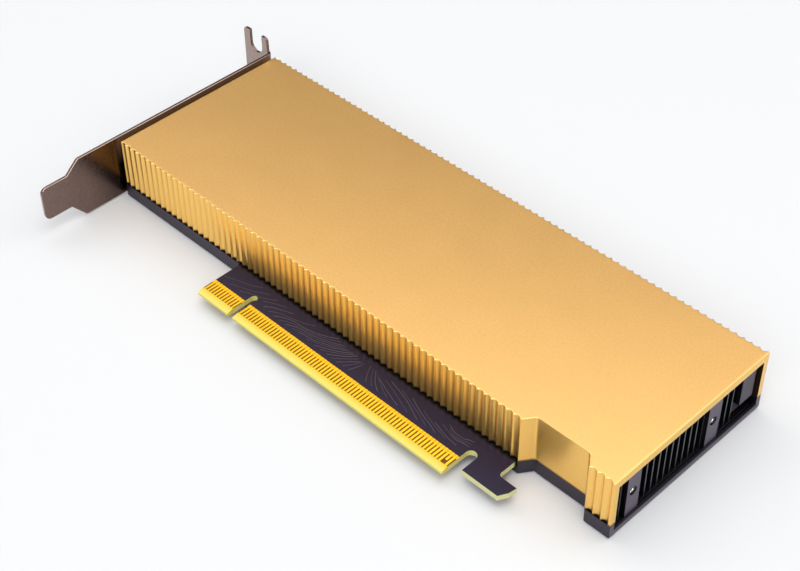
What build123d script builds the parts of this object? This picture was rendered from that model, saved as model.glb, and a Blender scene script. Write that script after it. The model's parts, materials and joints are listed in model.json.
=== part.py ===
from build123d import *
import os

# A passive accelerator card, in millimetres.
# The card lies with its component side up. X runs from the bracket to the tail, Y from the edge
# contacts to the far edge, and Z up. Places are measured from the card's own datum: X 0 in the middle
# of the key notch, Y 0 at the contact edge, and Z 0 on the component face of the circuit board.
# Each finished piece is then moved so that the card rests on Z 0 with the middle of its box on the axis.

# Overall sizes of the card
CARD_LENGTH = 167.65      # cover, from its bracket end to the tail
CARD_HEIGHT = 68.90       # contact edge to the far edge
KEY_TO_TAIL = 109.05      # middle of the key notch to the tail
FRONT_HEIGHT = 14.15      # board face to the top of the cover
BACK_HEIGHT = 4.13        # board face down to the underside of the tray
FIT_GAP = 0.25            # clearance round pieces that drop into the cover or tray
THREAD_GAP = 0.05         # between a screw and its hole or seat
OVERSHOOT = 1.00          # cutting shapes run this far past what they cut

# Cover, a channel open at both ends with fluted side walls
COVER_NEAR_Y = 13.80      # contact edge to the near wall's ridges
COVER_RISE = 0.24         # board face up to the cover's lower edge
COVER_TOP_T = 2.10
WALL_T = 1.65             # side walls of cover and tray, measured at the ridges
FLUTE_PITCH = 2.17
FLUTE_DEPTH = 0.60
FLUTE_LAND = 0.12         # width of the ridge between two flutes
FLUTE_FLATS = 3           # each flute's arc is drawn in this many flats
EDGE_BREAK = 0.25         # bevel round the cover's top face

# Recess in the near walls of cover and tray
RECESS_START = 82.55      # from the middle of the key notch
RECESS_LENGTH = 19.35
RECESS_DEPTH = 3.12
RECESS_SLANT = 2.30       # length along X of each slanted end

# Tray
TRAY_FLOOR_T = 1.03
TRAY_LIP_T = 1.00         # low walls at both ends
TRAY_LIP_H = 2.00         # from the underside
TRAY_BEVEL = 0.50         # round the underside

# Circuit board
BOARD_T = 1.57
BOARD_HEAD_GAP = 1.45     # bracket end of the cover to the board's edge
BOARD_TAIL_GAP = 13.00    # tail to the board's edge
CONTACT_PITCH = 1.00
CONTACT_W = 0.70
CONTACT_T = 0.05
CONTACTS_SHORT_SIDE = 11  # contacts between the bracket and the key notch
CONTACTS_LONG_SIDE = 71   # contacts between the key notch and the tail
SHORT_CONTACT_CUT = 1.20  # the presence contact is shorter than the rest
KEY_W = 1.90
KEY_DEPTH = 8.95
KEY_TO_CONTACT = 1.50     # middle of the key notch to the middle of the next contact
EDGE_MARGIN = 0.65        # middle of the last contact to the edge of the tab
MASK_Y = 5.88             # contact edge to the solder mask
BEVEL_RUN = 1.80          # lead-in bevel on both faces
BEVEL_DEPTH = 0.45
CONTACT_FOOT = 0.15       # from the bevel to the contacts

# Retention hook beside the contacts
HOOK_SLOT_W = 2.97
HOOK_SLOT_DEPTH = 9.50
HOOK_LENGTH = 12.25
HOOK_NECK = 6.80
HOOK_FOOT_Y = 3.42
HOOK_TOP_Y = 8.05
HOOK_NOSE = (1.60, 0.35)  # how far the foot's end and the middle of the nose stand back
HOOK_NOSE_Y = 5.70
HOOK_FILLET = 1.00

# Heatsink
BASE_Z = 3.00             # board face to the underside of the base
BASE_T = 2.00
FIN_T = 0.45
FIN_PITCH = 2.24
FIN_FIRST_Y = 16.34
FIN_COUNT = 23
FIN_TOP_GAP = 0.30        # fin tips to the cover
FIN_HEAD_GAP = 4.60       # bracket end of the cover to the fins
FIN_TAIL_GAP = 1.55       # tail to the fins
RAMP_RUN = 8.00           # the base ramps down to the tray past the board's end
TAIL_BASE_T = 0.95

# Tapped pillars at the tail, for an extender or a rear support
PILLAR_W = 4.50
PILLAR_LENGTH = 10.00
PILLAR_BACK = 0.60        # tail to the pillars' faces
PILLAR_FIRST_Y = 21.80
PILLAR_SPACING = 28.55
PILLAR_HOLE_R = 1.25      # tapping size for M3
PILLAR_HOLE_DEPTH = 7.00
PILLAR_HOLE_Z = 5.20
CORNER_BLOCK_W = 6.20     # solid block in the far corner of the tail
CORNER_BLOCK_Z = 2.40
CORNER_BLOCK_R = 1.60
CORNER_GAP = 0.50

# Processor package and what lies on it
PROCESSOR_OFFSET = (6.55, 0.65)  # from the middle of the board, towards the tail and the far edge
SUBSTRATE = 36.00
SUBSTRATE_T = 1.15
DIE_X = 22.00
DIE_Y = 13.50
DIE_T = 0.75
STIFFENER_W = 3.00
STIFFENER_T = 0.60
SPREADER_X = 68.00
SPREADER_Y = 43.50

# Memory
CHIP_X = 12.00
CHIP_Y = 14.00
CHIP_T = 1.10
CHIP_ROWS = 3
CHIP_ROW_PITCH = 14.50
CHIP_COLUMN = 26.50       # middle of the processor to the middle of each column of chips
PAD_INSET = 0.75          # thermal pads are this much smaller all round than what they lie on

# Power supply
INDUCTOR = 6.00
INDUCTOR_T = 2.50
INDUCTOR_ROWS = 5
INDUCTOR_ROW_PITCH = 7.60
INDUCTOR_COLUMN = 46.00   # processor to inductors, on both sides
STAGE_X = 5.00
STAGE_Y = 6.00
STAGE_T = 1.00
STAGE_STEP = 7.50         # inductors to power stages
CAPACITOR_X = 4.30
CAPACITOR_Y = 7.30
CAPACITOR_T = 1.90
CAPACITOR_STEP = 13.50    # inductors to capacitors
CERAMIC_X = 0.50
CERAMIC_Y = 1.00
CERAMIC_PITCH = 2.50
CERAMIC_COUNT = 24
CERAMIC_INSET = 2.70      # near wall's ridges to the middle of the row

# Small parts near the bracket
CONTROLLER = 6.00
CONTROLLER_T = 0.90
FIRMWARE_X = 6.00
FIRMWARE_Y = 5.00
FIRMWARE_T = 0.95
CRYSTAL_X = 3.20
CRYSTAL_Y = 2.50
CRYSTAL_T = 0.80
SMALL_PARTS_INSET = 7.50  # board's edge to the middle of the parts
SMALL_PARTS_PITCH = 10.00

# Screws
CASE_SCREW_R = 1.00
CASE_HEAD_R = 1.80
CASE_HEAD_H = 0.80
CASE_SCREW_LENGTH = 7.00
CASE_BOSS_W = 4.40
CASE_SCREW_INSET = 8.60   # ends of the cover to the screws
CASE_SCREW_SIDE = 4.10    # ridges of the side walls to the screws
CASE_SCREW_RECESS = 9.00  # the near tail screw stands this far before the recess
SINK_SCREW_R = 1.00
SINK_HEAD_R = 1.90
SINK_HEAD_H = 0.90
SINK_SCREW_LENGTH = 3.60
SINK_POST_R = 2.50         # corners of the hexagonal posts
SINK_SCREW_X = 38.00      # processor to the screws, along X and Y
SINK_SCREW_Y = 19.50

# Low-profile bracket
BRACKET_T = 0.86
BRACKET_W = 18.42
BRACKET_BASE = 0.46       # underside of the tray up to the bracket's lower edge
BRACKET_GAP = 1.40        # bracket end of the cover to the bracket
SEAT_DROP = 0.75          # card's far edge down to the face that lies on the chassis
TONGUE_REACH = 11.05      # end of the tongue past the contact edge, 79.20 from that face
TONGUE_W = 10.19
TONGUE_UP = 4.70          # bracket's lower edge to the tongue
TONGUE_L = 8.20
TONGUE_R = 1.80
SHOULDER = 4.00           # run of the slanted shoulders
SHOULDER_R = 0.80
TAB_DEPTH = 10.14
TAB_W = 21.59
TAB_RAISE = 4.30          # the tab stands past the bracket's upper edge
TAB_R = 1.20
BEND_R = 0.45             # inside the fold
TAB_SLOT_W = 4.70
TAB_SLOT_X = 5.05         # bracket's outer face to the middle of the slot
TAB_SLOT_DEPTH = 6.40
VENT_FLAT = 3.90          # across the flats of one hexagon
VENT_WEB = 0.90
VENT_COLUMNS = 7
VENT_ROWS = 3
BRACKET_POST_W = 7.00
BRACKET_POST_INSET = 6.20 # side walls' ridges to the middle of the posts
BRACKET_POST_Z = 7.40
BRACKET_POST_H = 7.00
BRACKET_SCREW_R = 1.25
BRACKET_HEAD_R = 2.30
BRACKET_HEAD_H = 1.00
BRACKET_SCREW_LENGTH = 5.00  # under the head

# Places that follow from the sizes
TAIL_X = KEY_TO_TAIL
HEAD_X = TAIL_X - CARD_LENGTH
COVER_TOP_Z = FRONT_HEIGHT
INSIDE_TOP_Z = COVER_TOP_Z - COVER_TOP_T
TRAY_Z = -BACK_HEIGHT
TRAY_FLOOR_Z = TRAY_Z + TRAY_FLOOR_T
LIP_Z = TRAY_Z + TRAY_LIP_H
WIDTH = CARD_HEIGHT - COVER_NEAR_Y
MIDDLE_Y = COVER_NEAR_Y + WIDTH / 2
BOARD_HEAD_X = HEAD_X + BOARD_HEAD_GAP
BOARD_TAIL_X = TAIL_X - BOARD_TAIL_GAP
BOARD_BACK_Z = -BOARD_T
TAB_LEFT_X = -KEY_TO_CONTACT - (CONTACTS_SHORT_SIDE - 1) * CONTACT_PITCH - EDGE_MARGIN
TAB_RIGHT_X = KEY_TO_CONTACT + (CONTACTS_LONG_SIDE - 1) * CONTACT_PITCH + EDGE_MARGIN
HOOK_X = TAB_RIGHT_X + HOOK_SLOT_W
NECK_X = HOOK_X + HOOK_NECK
FIN_TOP_Z = INSIDE_TOP_Z - FIN_TOP_GAP
FIN_HEAD_X = HEAD_X + FIN_HEAD_GAP
FIN_TAIL_X = TAIL_X - FIN_TAIL_GAP
SINK_TAIL_X = TAIL_X - TRAY_LIP_T - FIT_GAP
PILLAR_X = TAIL_X - PILLAR_BACK
PILLARS_Y = [PILLAR_FIRST_Y + i * PILLAR_SPACING for i in range(2)]
BRACKET_X = HEAD_X - BRACKET_GAP
BRACKET_OUT_X = BRACKET_X - BRACKET_T
BRACKET_Z = TRAY_Z + BRACKET_BASE
BRACKET_TOP_Z = BRACKET_Z + BRACKET_W
SEAT_Y = CARD_HEIGHT - SEAT_DROP
POSTS_Y = [COVER_NEAR_Y + BRACKET_POST_INSET, CARD_HEIGHT - BRACKET_POST_INSET]
PROCESSOR_X = (BOARD_HEAD_X + BOARD_TAIL_X) / 2 + PROCESSOR_OFFSET[0]
PROCESSOR_Y = MIDDLE_Y + PROCESSOR_OFFSET[1]
SPREADER_Z = SUBSTRATE_T + DIE_T
SMALL_PARTS_X = BOARD_HEAD_X + SMALL_PARTS_INSET
CASE_POINTS = [
    (HEAD_X + CASE_SCREW_INSET, COVER_NEAR_Y + CASE_SCREW_SIDE),
    (RECESS_START - CASE_SCREW_RECESS, COVER_NEAR_Y + CASE_SCREW_SIDE),
    (HEAD_X + CASE_SCREW_INSET, CARD_HEIGHT - CASE_SCREW_SIDE),
    (BOARD_TAIL_X - CASE_SCREW_INSET, CARD_HEIGHT - CASE_SCREW_SIDE),
]
SINK_POINTS = [
    (PROCESSOR_X + i * SINK_SCREW_X, PROCESSOR_Y + j * SINK_SCREW_Y) for i in (-1, 1) for j in (-1, 1)
]
BASE_TOP_Z = BASE_Z + BASE_T
STEP_X = BOARD_TAIL_X + FIT_GAP
RAMP_X = STEP_X + BASE_T
FOOT_Z = TRAY_FLOOR_Z + TAIL_BASE_T
ORIGIN = Pos(
    -(TAIL_X + BRACKET_OUT_X - TAB_DEPTH) / 2,
    -(max(CARD_HEIGHT, SEAT_Y + BRACKET_T) - TONGUE_REACH) / 2,
    BACK_HEIGHT,
)


def block(x0, x1, y0, y1, z0, z1):
    """A box between two corners."""
    return Pos((x0 + x1) / 2, (y0 + y1) / 2, (z0 + z1) / 2) * Box(x1 - x0, y1 - y0, z1 - z0)


def area(x0, x1, y0, y1):
    """A rectangle on XY between two corners."""
    return Pos((x0 + x1) / 2, (y0 + y1) / 2) * Rectangle(x1 - x0, y1 - y0)


def rod(x, y, z0, z1, r):
    """An upright cylinder between two heights."""
    return Pos(x, y, (z0 + z1) / 2) * Cylinder(r, z1 - z0)


def prism(face, z0, z1):
    """A plan drawn on XY, raised between two heights."""
    return Pos(0, 0, z0) * extrude(face, z1 - z0)


def card_plan():
    """Plan of cover and tray, with the recess in the near side."""
    recess_end = RECESS_START + RECESS_LENGTH
    deep = COVER_NEAR_Y + RECESS_DEPTH
    return make_face(Polyline(
        (HEAD_X, COVER_NEAR_Y), (RECESS_START, COVER_NEAR_Y), (RECESS_START + RECESS_SLANT, deep),
        (recess_end - RECESS_SLANT, deep), (recess_end, COVER_NEAR_Y), (TAIL_X, COVER_NEAR_Y),
        (TAIL_X, CARD_HEIGHT), (HEAD_X, CARD_HEIGHT), close=True,
    ))


def inside_plan(gap=0.0):
    """Plan of the space between the side walls, less a gap, running out past both open ends."""
    inset = WALL_T + gap
    run = inset + BRACKET_GAP + OVERSHOOT
    across = (COVER_NEAR_Y + inset, CARD_HEIGHT - inset)
    plan = offset(card_plan(), -inset, kind=Kind.INTERSECTION)
    return plan + area(HEAD_X - run, HEAD_X + run, *across) + area(TAIL_X - run, TAIL_X + run, *across)


def flute_row(start, end, y, side):
    """Grooves that cut one row of flutes into a wall: side is -1 on the near wall, 1 on the far one."""
    half = (FLUTE_PITCH - FLUTE_LAND) / 2
    arc = ThreePointArc((-half, 0), (0, -side * FLUTE_DEPTH), (half, 0))
    flats = [arc @ (i / FLUTE_FLATS) for i in range(FLUTE_FLATS + 1)]
    groove = make_face(Polyline(
        *flats, (half, side * OVERSHOOT), (-half, side * OVERSHOOT), close=True,
    ))
    count = int((end - start) / FLUTE_PITCH)
    return [Pos(start + (i + 0.5) * FLUTE_PITCH, y) * groove for i in range(count)]


def boss(x, y, z0, z1):
    """A square boss round a case screw, run into the nearer side wall."""
    side = 1 if y > MIDDLE_Y else -1
    half = CASE_BOSS_W / 2
    y0, y1 = sorted((y - side * half, y + side * (CASE_SCREW_SIDE - WALL_T / 2)))
    return block(x - half, x + half, y0, y1, z0, z1)


def top_cover():
    """Fluted channel with four bosses whose tapped feet come down to the board."""
    recess_end = RECESS_START + RECESS_LENGTH
    flutes = flute_row(HEAD_X, RECESS_START, COVER_NEAR_Y, -1)
    flutes += flute_row(recess_end, TAIL_X, COVER_NEAR_Y, -1)
    flutes += flute_row(HEAD_X, TAIL_X, CARD_HEIGHT, 1)
    cover = prism(card_plan() - flutes, COVER_RISE, COVER_TOP_Z)
    rim = cover.edges().group_by(Axis.Z)[-1].filter_by(GeomType.LINE)
    cover = chamfer([edge for edge in rim if edge.length > FLUTE_PITCH], EDGE_BREAK)
    cover -= prism(inside_plan(), COVER_RISE, INSIDE_TOP_Z)
    cover += [boss(x, y, COVER_RISE, INSIDE_TOP_Z + COVER_TOP_T / 2) for x, y in CASE_POINTS]
    cover += [on_board(x, y, CASE_BOSS_W, CASE_BOSS_W, INSIDE_TOP_Z) for x, y in CASE_POINTS]
    depth = TRAY_Z + CASE_SCREW_LENGTH + OVERSHOOT
    return cover - [rod(x, y, 0, depth, CASE_SCREW_R + THREAD_GAP) for x, y in CASE_POINTS]


def back_tray():
    """Shallow tray with a bevelled underside, low end walls and seats under the board."""
    tray = prism(card_plan(), TRAY_Z, COVER_RISE)
    tray = chamfer(tray.edges().group_by(Axis.Z)[0], TRAY_BEVEL)
    tray -= prism(inside_plan(), TRAY_FLOOR_Z, COVER_RISE)
    inner = (COVER_NEAR_Y + WALL_T, CARD_HEIGHT - WALL_T)
    tray += block(HEAD_X, HEAD_X + TRAY_LIP_T, *inner, TRAY_FLOOR_Z, LIP_Z)
    tray += block(TAIL_X - TRAY_LIP_T, TAIL_X, *inner, TRAY_FLOOR_Z, LIP_Z)
    tray += [boss(x, y, TRAY_FLOOR_Z - TRAY_FLOOR_T / 2, BOARD_BACK_Z) for x, y in CASE_POINTS]
    tray -= block(
        TAB_LEFT_X - FIT_GAP, NECK_X + FIT_GAP, 0, COVER_NEAR_Y + 2 * WALL_T, BOARD_BACK_Z, COVER_RISE
    )
    return tray - [countersink(x, y) for x, y in CASE_POINTS]


def countersink(x, y):
    """Clearance hole for a case screw, open downwards."""
    hole_r = CASE_SCREW_R + THREAD_GAP
    cone = Pos(x, y, TRAY_Z + CASE_HEAD_H / 2) * Cone(CASE_HEAD_R + THREAD_GAP, hole_r, CASE_HEAD_H)
    return cone + rod(x, y, TRAY_Z, BOARD_BACK_Z, hole_r)


def board_plan():
    """Board under the cover, with the contact tab and the retention hook in one outline."""
    body = inside_plan(FIT_GAP) & area(BOARD_HEAD_X, BOARD_TAIL_X, 0, CARD_HEIGHT)
    root_y = COVER_NEAR_Y + WALL_T + 2 * FIT_GAP
    end_x = HOOK_X + HOOK_LENGTH
    tab = make_face(Polyline(
        (TAB_LEFT_X, root_y), (TAB_LEFT_X, 0), (TAB_RIGHT_X, 0), (TAB_RIGHT_X, HOOK_FOOT_Y),
        (end_x - HOOK_NOSE[0], HOOK_FOOT_Y), (end_x - HOOK_NOSE[1], HOOK_NOSE_Y), (end_x, HOOK_TOP_Y),
        (NECK_X, HOOK_TOP_Y), (NECK_X, root_y), close=True,
    ))
    inner_corner = tab.vertices().sort_by_distance(Vertex(NECK_X, HOOK_TOP_Y))[0]
    tab = fillet(inner_corner, HOOK_FILLET)
    key_notch = round_slot(0, KEY_W, KEY_DEPTH)
    hook_notch = round_slot(TAB_RIGHT_X + HOOK_SLOT_W / 2, HOOK_SLOT_W, HOOK_SLOT_DEPTH)
    return body + tab - key_notch - hook_notch


def round_slot(x, width, depth):
    """Slot open towards the contact edge, with a round inner end."""
    straight = depth - width / 2
    return Pos(x, straight / 2) * Rectangle(width, straight) + Pos(x, straight) * Circle(width / 2)


def circuit_board():
    """Board with its lead-in bevels and screw holes."""
    board = prism(board_plan(), BOARD_BACK_Z, 0)
    reach = TAB_RIGHT_X + HOOK_SLOT_W / 2 - TAB_LEFT_X + CONTACT_PITCH
    wedge = make_face(Polyline(
        (-OVERSHOOT, OVERSHOOT), (BEVEL_RUN, OVERSHOOT), (BEVEL_RUN, 0), (0, -BEVEL_DEPTH),
        (-OVERSHOOT, -BEVEL_DEPTH), close=True,
    ))
    upper = Pos(TAB_LEFT_X - CONTACT_PITCH, 0, 0) * extrude(Plane.YZ * wedge, reach)
    lower = mirror(upper, Plane.XY.offset(BOARD_BACK_Z / 2))
    holes = [rod(x, y, BOARD_BACK_Z, 0, CASE_SCREW_R + THREAD_GAP) for x, y in CASE_POINTS]
    holes += [rod(x, y, BOARD_BACK_Z, 0, SINK_SCREW_R + THREAD_GAP) for x, y in SINK_POINTS]
    return board - upper - lower - holes


def contact_places():
    """Middle of each contact along X, from the bracket to the tail."""
    first = [-KEY_TO_CONTACT - i * CONTACT_PITCH for i in reversed(range(CONTACTS_SHORT_SIDE))]
    return first + [KEY_TO_CONTACT + i * CONTACT_PITCH for i in range(CONTACTS_LONG_SIDE)]


def contacts(z0, short):
    """Row of contacts on one face, the one numbered short being shorter at its foot."""
    foot = BEVEL_RUN + CONTACT_FOOT
    row = []
    for number, x in enumerate(contact_places(), start=1):
        low = foot + (SHORT_CONTACT_CUT if number == short else 0)
        row.append(block(x - CONTACT_W / 2, x + CONTACT_W / 2, low, MASK_Y, z0, z0 + CONTACT_T))
    return row


def sink_base():
    """Base plate, on the processor's spreader plate, then past the board a ramp down to the tray."""
    side = make_face(Polyline(
        (FIN_HEAD_X, BASE_Z), (STEP_X, BASE_Z), (STEP_X, TRAY_FLOOR_Z), (SINK_TAIL_X, TRAY_FLOOR_Z),
        (SINK_TAIL_X, FOOT_Z), (RAMP_X + RAMP_RUN, FOOT_Z), (RAMP_X, BASE_TOP_Z), (FIN_HEAD_X, BASE_TOP_Z),
        close=True,
    ))
    return Pos(0, CARD_HEIGHT, 0) * extrude(Plane.XZ * side, CARD_HEIGHT)


def fin(y, tail_x):
    """One fin, rooted in the base along the length of the card."""
    root_z = BASE_Z + BASE_T / 2
    foot_z = TRAY_FLOOR_Z + TAIL_BASE_T / 2
    foot = [(RAMP_X, root_z), (RAMP_X + RAMP_RUN, foot_z), (tail_x, foot_z)]
    if tail_x < RAMP_X:
        foot = [(tail_x, root_z)]
    side = make_face(Polyline(
        (FIN_HEAD_X, root_z), *foot, (tail_x, FIN_TOP_Z), (FIN_HEAD_X, FIN_TOP_Z), close=True,
    ))
    return Pos(0, y + FIN_T / 2, 0) * extrude(Plane.XZ * side, FIN_T)


def heatsink():
    """Base, fins, tail pillars, corner block and bracket posts, cut from one block of aluminium."""
    corner_end = CARD_HEIGHT - WALL_T - CORNER_GAP
    corner_start = corner_end - CORNER_BLOCK_W
    fins_y = [FIN_FIRST_Y + i * FIN_PITCH for i in range(FIN_COUNT)]
    sink = sink_base() + [fin(y, FIN_TAIL_X if y < corner_start else BOARD_TAIL_X) for y in fins_y]
    sink += [tail_block(y - PILLAR_W / 2, y + PILLAR_W / 2, LIP_Z + FIT_GAP / 2) for y in PILLARS_Y]
    corner = tail_block(corner_start, corner_end, CORNER_BLOCK_Z)
    front_edge = corner.edges().filter_by(Axis.Z).group_by(Axis.X)[-1].sort_by(Axis.Y)[-1]
    sink += fillet(front_edge, CORNER_BLOCK_R)
    sink += [bracket_post(y) for y in POSTS_Y]
    sink &= prism(inside_plan(FIT_GAP), TRAY_Z, COVER_TOP_Z)
    sink += [Pos(x, y) * extrude(RegularPolygon(SINK_POST_R, 6), BASE_Z) for x, y in SINK_POINTS]
    pocket_w = CASE_BOSS_W + 2 * FIT_GAP
    pockets = [on_board(x, y, pocket_w, pocket_w, COVER_TOP_Z - TRAY_Z, TRAY_Z) for x, y in CASE_POINTS]
    holes = [rod(x, y, 0, BASE_Z, SINK_SCREW_R + THREAD_GAP) for x, y in SINK_POINTS]
    hole_x = PILLAR_X - PILLAR_HOLE_DEPTH
    holes += [level_rod(hole_x, PILLAR_X, y, PILLAR_HOLE_Z, PILLAR_HOLE_R) for y in PILLARS_Y]
    hole_x = BRACKET_OUT_X + BRACKET_SCREW_LENGTH + THREAD_GAP
    hole_r = BRACKET_SCREW_R + THREAD_GAP
    holes += [level_rod(BRACKET_X, hole_x, y, BRACKET_POST_Z, hole_r) for y in POSTS_Y]
    return sink - pockets - holes


def tail_block(y0, y1, z0):
    """A block from the fins to the tail, as high as the fins."""
    return block(PILLAR_X - PILLAR_LENGTH, PILLAR_X, y0, y1, z0, FIN_TOP_Z)


def bracket_post(y):
    """A post that the bracket is screwed to, rooted in the base and the first fins."""
    half_w = BRACKET_POST_W / 2
    half_h = BRACKET_POST_H / 2
    root_x = FIN_HEAD_X + BASE_T
    return block(
        BRACKET_X, root_x, y - half_w, y + half_w, BRACKET_POST_Z - half_h, BRACKET_POST_Z + half_h
    )


def level_rod(x0, x1, y, z, r):
    """A cylinder lying along X."""
    return Pos((x0 + x1) / 2, y, z) * Rot(0, 90, 0) * Cylinder(r, x1 - x0)


def on_board(x, y, dx, dy, height, z0=0.0):
    """A flat component in the middle of a place, standing on the board or on what it carries."""
    return block(x - dx / 2, x + dx / 2, y - dy / 2, y + dy / 2, z0, z0 + height)


def processor_substrate():
    return on_board(PROCESSOR_X, PROCESSOR_Y, SUBSTRATE, SUBSTRATE, SUBSTRATE_T)


def processor_die():
    return on_board(PROCESSOR_X, PROCESSOR_Y, DIE_X, DIE_Y, DIE_T, SUBSTRATE_T)


def package_stiffener():
    """Metal ring round the edge of the substrate."""
    inner = SUBSTRATE - 2 * STIFFENER_W
    ring = on_board(PROCESSOR_X, PROCESSOR_Y, SUBSTRATE, SUBSTRATE, STIFFENER_T, SUBSTRATE_T)
    return ring - on_board(PROCESSOR_X, PROCESSOR_Y, inner, inner, STIFFENER_T, SUBSTRATE_T)


def spreader_plate():
    """Copper plate between the die and the heatsink's base."""
    return on_board(PROCESSOR_X, PROCESSOR_Y, SPREADER_X, SPREADER_Y, BASE_Z - SPREADER_Z, SPREADER_Z)


def rows(count, pitch):
    """Places of a row along Y, centred on the processor."""
    return [PROCESSOR_Y + (i - (count - 1) / 2) * pitch for i in range(count)]


def memory_places():
    return [
        (PROCESSOR_X + side * CHIP_COLUMN, y) for side in (-1, 1) for y in rows(CHIP_ROWS, CHIP_ROW_PITCH)
    ]


def memory_chips(z0):
    return [on_board(x, y, CHIP_X, CHIP_Y, CHIP_T, z0) for x, y in memory_places()]


def memory_pads(z0, z1):
    dx = CHIP_X - 2 * PAD_INSET
    dy = CHIP_Y - 2 * PAD_INSET
    return [on_board(x, y, dx, dy, z1 - z0, z0) for x, y in memory_places()]


def power_places(step):
    """Places beside the processor, a step further out than the inductors."""
    reach = INDUCTOR_COLUMN + step
    return [
        (PROCESSOR_X + side * reach, y) for side in (-1, 1) for y in rows(INDUCTOR_ROWS, INDUCTOR_ROW_PITCH)
    ]


def power_parts(step, dx, dy, z0, z1):
    return [on_board(x, y, dx, dy, z1 - z0, z0) for x, y in power_places(step)]


def ceramic_capacitors():
    """Row of small capacitors in the signal lines behind the contacts."""
    first = KEY_TO_CONTACT + CERAMIC_PITCH
    y = COVER_NEAR_Y + CERAMIC_INSET
    return [
        on_board(first + i * CERAMIC_PITCH, y, CERAMIC_X, CERAMIC_Y, CERAMIC_X)
        for i in range(CERAMIC_COUNT)
    ]


def io_bracket():
    """Bracket folded from one strip: vented plate, tongue, and a tab with an open screw slot."""
    bend_out = BEND_R + BRACKET_T
    seat_top = SEAT_Y + BRACKET_T
    tab_x = BRACKET_OUT_X - TAB_DEPTH
    tab_top = BRACKET_TOP_Z + TAB_RAISE
    tab_low = tab_top - TAB_W
    strip = make_face(Polyline(
        (BRACKET_X, -TONGUE_REACH), (BRACKET_X, seat_top), (tab_x, seat_top), (tab_x, SEAT_Y),
        (BRACKET_OUT_X, SEAT_Y), (BRACKET_OUT_X, -TONGUE_REACH), close=True,
    ))
    strip = fillet(strip.vertices().sort_by_distance(Vertex(BRACKET_X, seat_top))[0], bend_out)
    strip = fillet(strip.vertices().sort_by_distance(Vertex(BRACKET_OUT_X, SEAT_Y))[0], BEND_R)
    folded = prism(strip, BRACKET_Z - OVERSHOOT, tab_top + OVERSHOOT)
    fold_x = BRACKET_OUT_X - BEND_R
    through = BRACKET_T + 2 * OVERSHOOT
    plate = Pos(BRACKET_OUT_X - OVERSHOOT, 0, 0) * extrude(Plane.YZ * plate_view(SEAT_Y - BEND_R), through)
    fold = block(fold_x, BRACKET_X, SEAT_Y - BEND_R, seat_top, tab_low, BRACKET_TOP_Z)
    tab_face = Plane.XZ * tab_view(tab_x, fold_x, tab_low, tab_top)
    tab = Pos(0, seat_top + OVERSHOOT, 0) * extrude(tab_face, through)
    bracket = (folded & plate) + (folded & fold) + (folded & tab)
    hole_r = BRACKET_SCREW_R + THREAD_GAP
    holes = [level_rod(BRACKET_OUT_X, BRACKET_X, y, BRACKET_POST_Z, hole_r) for y in POSTS_Y]
    return bracket - vents() - holes


def plate_view(end_y):
    """Outline of plate and tongue, looking along X, with Y across and Z up."""
    low = BRACKET_Z
    high = BRACKET_TOP_Z
    tongue_low = low + TONGUE_UP
    tongue_high = tongue_low + TONGUE_W
    neck_y = TONGUE_L - TONGUE_REACH
    shoulder_y = neck_y + SHOULDER
    view = make_face(Polyline(
        (-TONGUE_REACH, tongue_low), (neck_y, tongue_low), (shoulder_y, low), (end_y, low),
        (end_y, high), (shoulder_y, high), (neck_y, tongue_high), (-TONGUE_REACH, tongue_high), close=True,
    ))
    view = fillet(view.vertices().group_by(Axis.X)[0], TONGUE_R)
    shoulders = [v for v in view.vertices() if abs(v.X - shoulder_y) < SHOULDER / 4]
    return fillet(shoulders, SHOULDER_R)


def tab_view(x0, x1, z0, z1):
    """Outline of the tab, looking along Y, with its screw slot open upwards."""
    view = Pos((x0 + x1) / 2, (z0 + z1) / 2) * Rectangle(x1 - x0, z1 - z0)
    view = fillet(view.vertices(), TAB_R)
    slot_x = BRACKET_OUT_X - TAB_SLOT_X
    centre = z1 - TAB_SLOT_DEPTH + TAB_SLOT_W / 2
    slot = Pos(slot_x, centre) * Circle(TAB_SLOT_W / 2)
    slot += Pos(slot_x, (centre + z1) / 2) * Rectangle(TAB_SLOT_W, z1 - centre)
    return view - slot


def vents():
    """Honeycomb of air vents in the middle of the bracket."""
    step = VENT_FLAT + VENT_WEB
    column = step * 3 ** 0.5 / 2
    middle_z = (BRACKET_Z + BRACKET_TOP_Z) / 2
    cells = []
    for i in range(VENT_COLUMNS):
        y = MIDDLE_Y + (i - (VENT_COLUMNS - 1) / 2) * column
        count = VENT_ROWS - i % 2
        for j in range(count):
            z = middle_z + (j - (count - 1) / 2) * step
            cells.append(Pos(y, z) * RegularPolygon(VENT_FLAT / 2, 6, major_radius=False, rotation=30))
    return extrude(Plane.YZ.offset(BRACKET_OUT_X - OVERSHOOT) * Sketch(cells), BRACKET_T + 2 * OVERSHOOT)


def case_screws():
    """Countersunk screws through tray and board into the cover's bosses, flush with the tray."""
    head = Pos(0, 0, CASE_HEAD_H / 2) * Cone(CASE_HEAD_R, CASE_SCREW_R, CASE_HEAD_H)
    screw = head + rod(0, 0, CASE_HEAD_H / 2, CASE_SCREW_LENGTH, CASE_SCREW_R)
    return [Pos(x, y, TRAY_Z) * screw for x, y in CASE_POINTS]


def sink_screws():
    """Hexagon-headed screws through the board into the heatsink's posts."""
    head = extrude(RegularPolygon(SINK_HEAD_R, 6), SINK_HEAD_H)
    screw = head + rod(0, 0, 0, SINK_SCREW_LENGTH, SINK_SCREW_R)
    return [Pos(x, y, BOARD_BACK_Z - SINK_HEAD_H) * screw for x, y in SINK_POINTS]


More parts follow.
